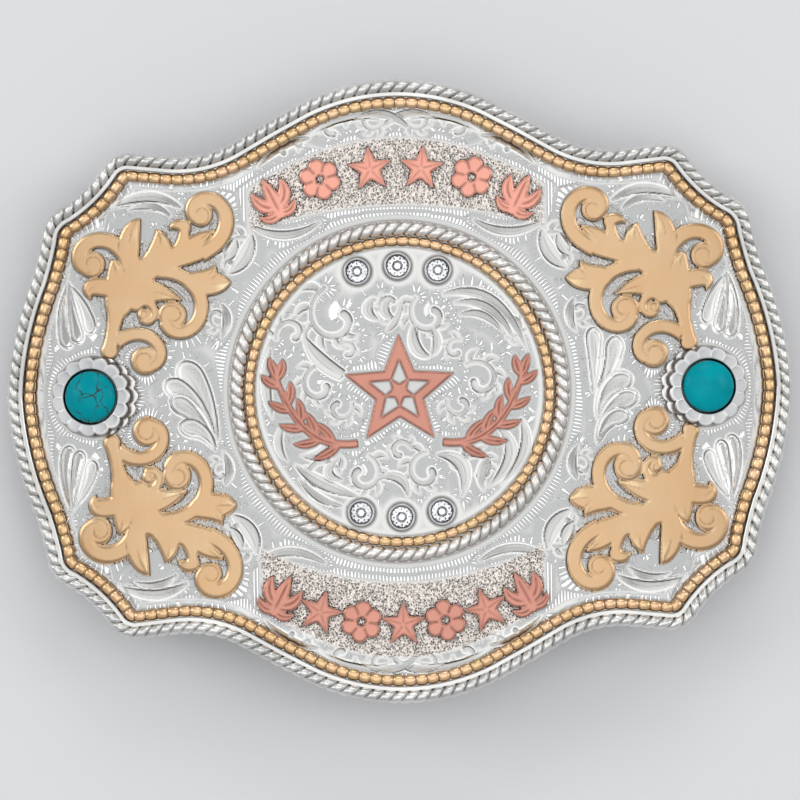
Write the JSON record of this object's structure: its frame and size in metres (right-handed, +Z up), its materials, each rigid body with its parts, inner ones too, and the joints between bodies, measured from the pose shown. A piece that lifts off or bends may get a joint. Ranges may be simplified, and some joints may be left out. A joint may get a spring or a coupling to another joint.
{
  "type": "western belt buckle",
  "caption": "Large bent-plate belt buckle with rope and bead edges, scroll overlays, turquoise settings, round stones, a belt loop and a belt hook on its back.",
  "frame": {"origin": "centre of the bounding box, on the surface that the buckle lies on", "axes": "+Z up through the face, +X to the right of the face, +Y to the top of the face"},
  "size_m": [0.114, 0.09, 0.0158],
  "materials": {
    "silver": "bright engraved German silver, polished margins, dark in the cuts",
    "aged_silver": "satin silver, dark in its recesses",
    "bronze": "polished jeweller's bronze",
    "copper": "polished copper",
    "turquoise": "polished stone with brown veins",
    "clear_stone": "faceted clear stone"
  },
  "bodies": {
    "root": {"base_plate": "silver", "edge_rope": "silver", "edge_beads": "bronze", "center_rope": "aged_silver", "center_beads": "bronze", "scroll_upper_left": "bronze", "scroll_upper_right": "bronze", "scroll_lower_left": "bronze", "scroll_lower_right": "bronze", "setting_left": "aged_silver", "setting_right": "aged_silver", "turquoise_left": "turquoise", "turquoise_right": "turquoise", "stone_bezel_1": "aged_silver", "stone_bezel_2": "aged_silver", "stone_bezel_3": "aged_silver", "stone_bezel_4": "aged_silver", "stone_bezel_5": "aged_silver", "stone_bezel_6": "aged_silver", "round_stone_1": "clear_stone", "round_stone_2": "clear_stone", "round_stone_3": "clear_stone", "round_stone_4": "clear_stone", "round_stone_5": "clear_stone", "round_stone_6": "clear_stone", "center_star": "copper", "laurel_left": "copper", "laurel_right": "copper", "top_motif_1": "copper", "top_motif_2": "copper", "top_motif_3": "copper", "top_motif_4": "copper", "top_motif_5": "copper", "top_motif_6": "copper", "low_motif_1": "copper", "low_motif_2": "copper", "low_motif_3": "copper", "low_motif_4": "copper", "low_motif_5": "copper", "low_motif_6": "copper", "low_motif_7": "copper", "belt_loop": "aged_silver", "belt_hook": "aged_silver"}
  },
  "joints": []
}
